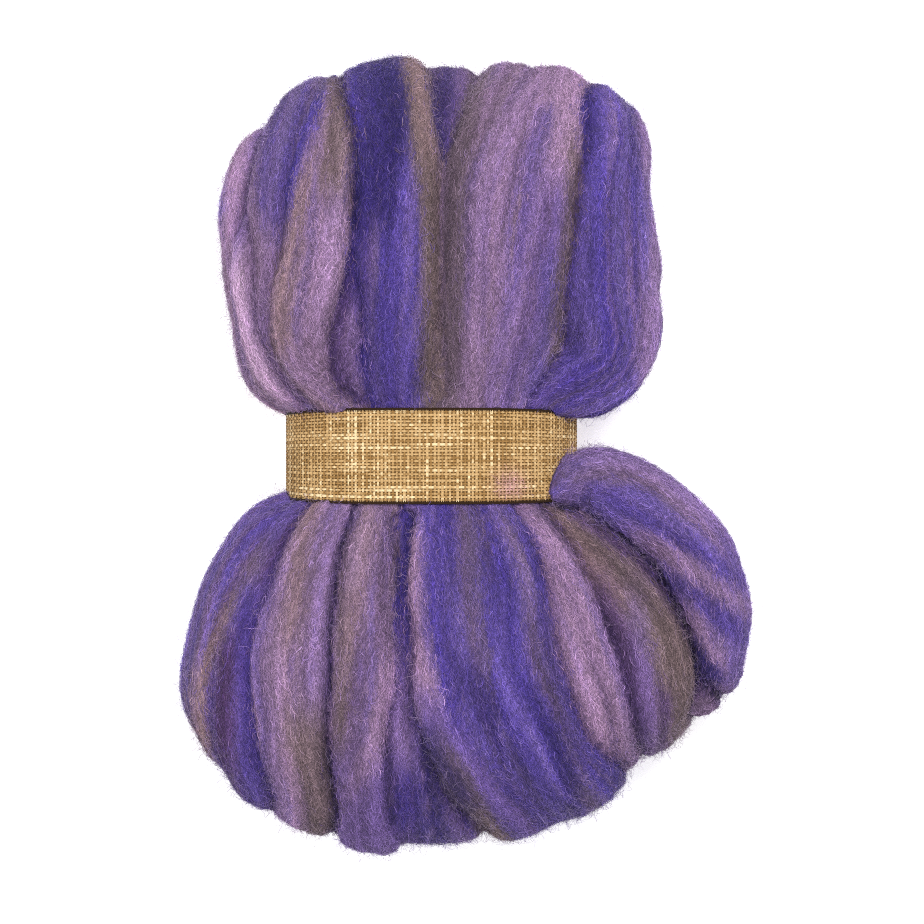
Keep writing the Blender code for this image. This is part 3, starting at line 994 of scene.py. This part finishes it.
def ribbons(name, random, lines, ups, lifts, widths, colours, material):
    """One piece of tapered ribbons along lines, each in its own cell of the UV map OFBake."""
    steps, count = lines.shape[0] - 1, lines.shape[1]
    lines = lines + ups * lifts[:, :, None]
    lines[:, :, 2] = np.maximum(lines[:, :, 2], FLOOR_GAP)
    ahead = unit(np.gradient(lines, axis=0))
    aside = unit(np.cross(ups, ahead))
    tilt = random.uniform(-RIBBON_TILT, RIBBON_TILT, count)[None, :, None]
    aside = aside * np.cos(tilt) + np.cross(ahead, aside) * np.sin(tilt)
    taper = np.sin(np.pi * np.linspace(0, 1, steps + 1)) ** RIBBON_TAPER
    half = 0.5 * widths[None, :] * taper[:, None]
    left = lines - aside * half[:, :, None]
    right = lines + aside * half[:, :, None]
    # each ribbon: its first tip, pairs of sides, its last tip
    rows = [lines[0]]
    spots = [(0.5, 0.0)]
    for step in range(1, steps):
        rows += [left[step], right[step]]
        spots += [(0.0, step / steps), (1.0, step / steps)]
    rows.append(lines[steps])
    spots.append((0.5, 1.0))
    each = len(rows)
    points = np.stack(rows, axis=1).reshape(-1, 3)
    pattern = [(0, 1, 2)]
    for step in range(1, steps - 1):
        low = 2 * step - 1
        pattern += [(low, low + 2, low + 1), (low + 1, low + 2, low + 3)]
    pattern.append((each - 3, each - 1, each - 2))
    faces = (np.arange(count)[:, None, None] * each + np.array(pattern)[None]).reshape(-1, 3)
    made = mesh_object(name, points, faces)
    store_colour(made.data, "dye", np.repeat(colours, each, axis=0))
    cells = math.ceil(math.sqrt(count))
    cell = np.stack([np.arange(count) % cells, np.arange(count) // cells], axis=1)
    spot = 0.15 + 0.7 * np.array(spots)
    atlas = ((cell[:, None, :] + spot[None]) / cells).reshape(-1, 2)
    layer = made.data.uv_layers.new(name="OFBake")
    layer.data.foreach_set("uv", atlas[faces.ravel()].astype(np.float32).ravel())
    made.data.materials.append(material)
    return made


def fibre_colours(random, points):
    """Each fibre's own colour, a few of them pale or strange, darkened by the painted shade where
    it starts, and its place in the winding.
    """
    place = place_of(points)
    count = len(points)
    strayed = points + random.normal(0, STRAY, (count, 3)) * STRAY_WAYS
    colours = dye_of(strayed)
    bright = np.exp(random.normal(0, FIBRE_TONE, count).clip(*FIBRE_TONE_LIMITS))
    pale = random.random(count) < PALE_SHARE
    bright = np.where(pale, PALE_GAIN * bright.clip(PALE_LEAST), bright)
    toward = np.where(pale, random.uniform(*PALE_MIX, count), 0.0)
    colours = blend(colours, linear(PALE_FIBRE), toward[:, None])
    others = np.array([linear(colour) for name, colour in DYES.items() if name != WISP_DYE])
    toward = np.where(random.random(count) < STRANGE_SHARE, STRANGE, 0.0)
    picked = others[random.integers(0, len(others), count)]
    colours = blend(colours, picked, toward[:, None])
    return colours * bright[:, None] * tone_and_painted_shade(place), place


def laid(random, layer, surface, weight):
    """A layer's lines on the surface, its normals along them, their colours and triangles."""
    corners, points, normals, _, tree = surface
    starts, chosen = scatter(random, layer.count, corners, points, weight)
    colours, place = fibre_colours(random, starts)
    stride = random.uniform(layer.short, layer.long, layer.count)
    away = random.random(layer.count) < 0.5
    headings = place.heading * np.where(away, 1, -1)[:, None]
    lines, ups = curl_lines(random, tree, starts, normals[chosen], headings, layer, stride)
    return lines, ups, colours, chosen


def make_fibres(body):
    random = np.random.default_rng(SEED)
    surface = surface_of(body)
    corners, points, normals, area, _ = surface
    middles = points[corners].mean(axis=1)
    facing = normals[:, 2]
    weight = area * np.interp(facing, *COVER)
    covered = (np.abs(middles[:, 1]) < TIE_WIDTH / 2 - 1) & (outside_tie(middles) < 1.0)
    weight[covered | (middles[:, 2] < BARE_BELOW)] = 0
    material = dyed_material("wool_fibre", FIBRE)
    pieces = []

    lines, ups, colours, _ = laid(random, LYING, surface, weight)
    count = LYING.count
    arch = np.sin(np.pi * np.linspace(0, 1, LYING.steps + 1))[:, None]
    loose = np.where(random.random(count) < LOOSE_SHARE, LOOSE_LIFT, 1.0)
    lifts = random.uniform(*LIE, count) + arch * random.uniform(*ARCH, count) * loose
    widths = random.uniform(LYING.thin, LYING.wide, count)
    order = np.argsort(-lines[0, :, 1], kind="stable")
    for number, part in enumerate(np.array_split(order, -(-count // FIBRES_TO_A_PIECE))):
        shape = lines[:, part], ups[:, part], lifts[:, part], widths[part]
        name = f"wool_fibres_{number + 1}"
        pieces.append(ribbons(name, random, *shape, colours[part], material))

    lines, ups, colours, chosen = laid(random, FUZZ, surface, weight * np.interp(facing, *RIM))
    count = FUZZ.count
    share = np.linspace(0, 1, FUZZ.steps + 1)[:, None]
    rising = share ** random.uniform(*RISE_POWER, count)
    bowed = np.sin(np.pi * share) * np.ones(count)
    free = random.random(count) < FREE_SHARE
    off = random.gamma(*STAND_OFF, count).clip(*STAND_OFF_LIMITS)
    lifts = np.where(free, rising, bowed) * off
    widths = random.uniform(FUZZ.thin, FUZZ.wide, count)
    # painted backlight: fuzz at the rim, facing sideways, is painted paler than fuzz on the faces
    pale = np.interp(facing[chosen], RIM_TO_FACE, (PAINTED_HALO_LIGHT, FACE_PAINTED_LIGHT))[:, None]
    colours = blend(colours, linear(PALE_FIBRE), pale)
    pieces.append(ribbons("wool_fuzz", random, lines, ups, lifts, widths, colours, material))
    return [*pieces, make_wisp(material)]


WISP_FIBRES = 50
WISP_STEPS = 6
WISP_STRIDE = (0.3, 0.7)
WISP_BEND = 0.35
WISP_SPREAD = (3.2, 2.2)
WISP_ABOVE = (0.1, 0.7)
WISP_TONE = 0.2
WISP_THIN = (0.07, 0.12)
WISP_X = 17.5
WISP_Y = -11.5
WISP_WIDE = 6.0  # the threads are tinted this far round it
WISP_TINT = 0.55
WISP_DYE = "wisp"


def make_wisp(material):
    """A few fibres that have come off the wool and lie on the face of the tie."""
    random = np.random.default_rng(SEED + 2)
    count = WISP_FIBRES
    lean = random.uniform(0, 2 * np.pi, count)
    bend = random.normal(0, WISP_BEND, count)
    middle = zip((WISP_X, WISP_Y), WISP_SPREAD)
    here = np.stack([random.normal(at, spread, count) for at, spread in middle], axis=1)
    stride = random.uniform(*WISP_STRIDE, count)
    places = []
    for _ in range(WISP_STEPS + 1):
        places.append(here)
        lean = lean + bend
        here = here + stride[:, None] * np.stack([np.cos(lean), np.sin(lean)], axis=1)
    flat = np.array(places)
    share = np.clip(np.abs(flat[..., 0] - TIE_CENTRE_X) / TIE_HALF_WIDE, 0, 1)
    up = (1 - share**TIE_POWER) ** (1 / TIE_POWER)
    high = MID_HEIGHT + TIE_HALF_HIGH * up + random.uniform(*WISP_ABOVE, count)
    lines = np.concatenate([flat, high[..., None]], axis=-1)
    ups = np.broadcast_to(np.array([0.0, 0.0, 1.0]), lines.shape)
    bright = np.exp(random.normal(0, WISP_TONE, count))[:, None]
    widths = random.uniform(*WISP_THIN, count)
    colours = linear(DYES[WISP_DYE]) * DYE_GAIN * bright
    lifts = np.zeros(lines.shape[:2])
    return ribbons("wool_wisp", random, lines, ups, lifts, widths, colours, material)


# -------------------- the tie
THREAD_PITCH = 1.5
THREADS_ALONG = 28
GROUND_OUTSIDE = -0.55
GROUND_INSIDE = -1.15
GROUND_INSET = 0.3
THREAD_MIDDLE = -0.36
THREAD_WAVE = 0.2
THREAD_HALF = 0.11
SELVAGE = 1.5  # from the ribbon's edge to the first thread of the open weave
THREAD_STRAY, STRAY_STEP = 0.12, 0.05
SLUB_APART, SLUB_LONG, SLUB_SEED = 5.7, 24.0, 11
OWN_TONE, FINE_TONE = 0.36, 0.3  # how unevenly light the threads are, and each along itself
PALE_SOFT = 0.5
BROWN_AT = (0.05, 0.6)
# the dark edge cord is halved in brightness: its own dark selvage, with painted shade along the
# tie's edges
CORD_SHADE = 0.5
# How wide threads are, as a share of their distance, and how much wider in slubs, where they turn
# pale, and how much wider or narrower one thread is than another
Threads = namedtuple("Threads", "wide slub pale uneven")
WARP = Threads(0.58, 0.2, 0.6, (0.85, 1.1))
WEFT = Threads(0.52, 0.18, 0.5, (0.8, 1.15))
RING_STEPS = 7200
EDGE_PLACES = 480
EDGE_INSET = (0.7, 1.6)  # a dark cord, and a brown thread inside it
EDGE_WIDE = (1.4, 0.5)
EDGE_MIDDLE = -0.3
TAN = (204, 168, 116)
CREAM = (240, 216, 170)
BROWN = (160, 122, 72)
DARK = (66, 46, 28)
PAINTED_GAP_SHADE = (116, 88, 52)  # painted shade: the dark sheet seen in the small gaps between threads


def ring_angles(count):
    """Angles round the tie that are equally far apart along it, and its length."""
    fine = 2 * np.pi * np.arange(RING_STEPS + 1) / RING_STEPS
    points = tie_points(fine, THREAD_MIDDLE, np.zeros(len(fine)))
    run = np.concatenate([[0], np.cumsum(np.linalg.norm(np.diff(points, axis=0), axis=1))])
    return np.interp(run[-1] * np.arange(count) / count, run, fine), run[-1]


def ring_frames(angle, y, grow):
    """Points on the tie, with the directions round it, across it and out of it."""
    points = tie_points(angle, grow, y)
    nudge = 1e-4
    around = unit(tie_points(angle + nudge, grow, y) - tie_points(angle - nudge, grow, y))
    across = np.broadcast_to(np.array([0.0, 1.0, 0.0]), points.shape)
    return points, around, across, unit(np.cross(around, across))


def strips(name, lines, sides, outs, widths, colours, closed, material):
    """Threads as strips with a raised middle: lines is (threads, places, 3)."""
    left = lines - sides * widths[..., None] / 2 - outs * THREAD_HALF
    right = lines + sides * widths[..., None] / 2 - outs * THREAD_HALF
    top = lines + outs * THREAD_HALF
    threads, places = lines.shape[:2]
    points = np.stack([left, top, right], axis=2).reshape(-1, 3)
    here = 3 * np.arange(places if closed else places - 1)
    there = (here + 3) % (3 * places)
    sides = [np.stack([here, here + 1, there + 1, there], axis=1) + lane for lane in range(2)]
    faces = np.arange(threads)[:, None, None] * places * 3 + np.concatenate(sides)
    made = mesh_object(name, points, faces.reshape(-1, 4))
    store_colour(made.data, "dye", np.repeat(colours.reshape(-1, 3), 3, axis=0))
    made.data.materials.append(material)
    return made


def thread_colours(random, threads, places, pale_from):
    """Linear colours along each thread: tan, with slubs of cream and stretches of brown."""
    axes = np.arange(threads) * SLUB_APART, np.arange(places) / SLUB_LONG, [0.0]
    spots = np.stack(np.meshgrid(*axes, indexing="ij"), axis=-1).reshape(-1, 3)
    slub = noise(spots, SLUB_SEED).reshape(threads, places)
    own = random.normal(0, OWN_TONE, threads)[:, None]
    tone = slub + own + random.normal(0, FINE_TONE, (threads, places))
    pale = smoothstep(pale_from, pale_from + PALE_SOFT, tone)[..., None]
    brown = smoothstep(*BROWN_AT, -tone)[..., None]
    return blend(blend(linear(TAN), linear(CREAM), pale), linear(BROWN), brown), slub


def caught_wool(colours, points):
    """The threads' colours, tinted by the fibres that are caught on the tie's face."""
    apart = (points[..., :2] - (WISP_X, WISP_Y)) / WISP_WIDE
    weight = WISP_TINT * np.exp(-(apart**2).sum(-1)) * (points[..., 2] > MID_HEIGHT)
    return blend(colours, linear(DYES[WISP_DYE]), weight[..., None])


def make_tie():
    random = np.random.default_rng(SEED + 1)
    perimeter = ring_angles(4)[1]
    wefts = 2 * round(perimeter / THREAD_PITCH / 2)
    # a dark sheet under the weave, coloured as painted shade in the gaps between threads
    points, faces = band_skin(GROUND_OUTSIDE, GROUND_INSIDE, TIE_WIDTH / 2 - GROUND_INSET, 160)
    ground = mixed_mesh("burlap_ground", points, faces)
    ground.data.polygons.foreach_set("use_smooth", np.ones(len(faces), bool))
    store_colour(ground.data, "dye", np.tile(linear(PAINTED_GAP_SHADE), (len(points), 1)))
    ground.data.materials.append(dyed_material("burlap_gap_shade", THREAD))

    material = dyed_material("burlap_thread", THREAD)
    reach = TIE_WIDTH / 2 - SELVAGE
    rows = np.linspace(-reach, reach, THREADS_ALONG)
    gap = rows[1] - rows[0]

    # warp: threads that run round the tie
    shape = (THREADS_ALONG, 2 * wefts)
    number, place = np.arange(shape[0])[:, None], np.arange(shape[1])[None]
    wave = np.where((place // 2) % 2 == number % 2, 1, -1) * (place % 2 == 0)
    colours, slub = thread_colours(random, *shape, WARP.pale)
    wander = THREAD_STRAY * random.normal(0, 1, shape).cumsum(1) * STRAY_STEP
    y = rows[:, None] + wander - wander.mean(1, keepdims=True)
    angle = np.broadcast_to(ring_angles(shape[1])[0], shape)
    points, around, across, out = ring_frames(angle, y, THREAD_MIDDLE + THREAD_WAVE * wave)
    widths = gap * (WARP.wide + WARP.slub * slub) * random.uniform(*WARP.uneven, (shape[0], 1))
    colours = caught_wool(colours, points)
    warp = strips("burlap_warp", points, across, out, widths, colours, True, material)

    # weft: threads that run across it
    shape = (wefts, 2 * THREADS_ALONG + 1)
    number, place = np.arange(shape[0])[:, None], np.arange(shape[1])[None] - 1
    wave = np.where((place // 2) % 2 == number % 2, -1, 1) * (place % 2 == 0)
    colours, slub = thread_colours(random, *shape, WEFT.pale)
    y = np.broadcast_to(np.linspace(-reach - gap / 2, reach + gap / 2, shape[1]), shape)
    angle = np.broadcast_to(ring_angles(wefts)[0][:, None], shape)
    points, around, across, out = ring_frames(angle, y, THREAD_MIDDLE + THREAD_WAVE * wave)
    widths = THREAD_PITCH * (WEFT.wide + WEFT.slub * slub)
    widths = widths * random.uniform(*WEFT.uneven, (wefts, 1))
    colours = caught_wool(colours, points)
    weft = strips("burlap_weft", points, around, out, widths, colours, False, material)

    # the two woven edges
    edge = TIE_WIDTH / 2
    cord, thread = EDGE_INSET
    rows = np.array([-edge + cord, -edge + thread, edge - thread, edge - cord])
    shape = (len(rows), EDGE_PLACES)
    angle = np.broadcast_to(ring_angles(EDGE_PLACES)[0], shape)
    y = np.broadcast_to(rows[:, None], shape)
    points, around, across, out = ring_frames(angle, y, EDGE_MIDDLE)
    widths = np.broadcast_to(np.array([*EDGE_WIDE, *EDGE_WIDE[::-1]])[:, None], shape)
    # the cord's dark selvage colour, halved as painted shade along the tie's edges
    tones = [linear(DARK) * CORD_SHADE, linear(BROWN)]
    colours = np.repeat(np.array(tones + tones[::-1])[:, None], EDGE_PLACES, axis=1)
    edges = strips("burlap_edges", points, across, out, widths, colours, True, material)
    return ground, [warp, weft, edges], perimeter


# -------------------- floor, light and camera
CAMERA_X = -1.6
CAMERA_Y = -2.4
CAMERA_ABOVE = 2200.0  # above the plane of the outline
VIEW_WIDE = 369.6
SENSOR = 36.0
LIT_SPOT = (0.0, 0.0, 0.04)
FLOOR_CORNERS = ((-1, -1, 0), (1, -1, 0), (1, 1, 0), (-1, 1, 0))
FLOOR_REACH = 3000.0
FLOOR_WHITE = 0.95
FLOOR_GLOW = 0.6
SKY = 0.5
# Lamps: name, place and size in metres, and power
LAMPS = (("key", (0.25, 0.5, 1.5), 0.5, 18.0), ("fill", (-0.7, -0.2, 1.3), 0.8, 5.0))


def make_stage():
    floor = mesh_object("floor", FLOOR_REACH * np.array(FLOOR_CORNERS), [(0, 1, 2, 3)])
    material, _, shader = new_material("floor_white", 0.9)
    shader.inputs["Base Color"].default_value = (FLOOR_WHITE, FLOOR_WHITE, FLOOR_WHITE, 1)
    shader.inputs["Emission Color"].default_value = (1, 1, 1, 1)
    shader.inputs["Emission Strength"].default_value = FLOOR_GLOW
    floor.data.materials.append(material)


def area_light(name, place, size, power):
    data = bpy.data.lights.new(name, "AREA")
    data.shape = "SQUARE"
    data.size = size
    data.energy = power
    lamp = placed(name, data)
    lamp.location = place
    way = Vector(np.array(LIT_SPOT) - np.array(place))
    lamp.rotation_euler = way.to_track_quat("-Z", "Y").to_euler()


def make_light():
    world = bpy.data.worlds.new("studio")
    world.use_nodes = True
    back = world.node_tree.nodes["Background"]
    back.inputs["Color"].default_value = (1, 1, 1, 1)
    back.inputs["Strength"].default_value = SKY
    bpy.context.scene.world = world
    for lamp in LAMPS:
        area_light(*lamp)
    bpy.context.scene.view_settings.view_transform = "Standard"
    bpy.context.scene.cycles.use_denoising = False
    bpy.context.scene.cycles.filter_width = 1.1


def make_camera():
    data = bpy.data.cameras.new("camera")
    data.sensor_width = SENSOR
    data.lens = SENSOR * CAMERA_ABOVE / VIEW_WIDE
    data.clip_end = 20
    camera = placed("camera", data)
    camera.location = in_frame(np.array((CAMERA_X, CAMERA_Y, MID_HEIGHT + CAMERA_ABOVE)))
    bpy.context.scene.camera = camera


clear_of_start()
make_stage()
make_light()
make_camera()

wool_body = make_wool_body()
fibres = make_fibres(wool_body)
tie_ground, tie_threads, tie_length = make_tie()

for piece in [wool_body, *fibres]:
    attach(piece, "root")
for piece in [tie_ground, *tie_threads]:
    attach(piece, "root")
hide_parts("roving_hank")
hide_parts("burlap_tie")
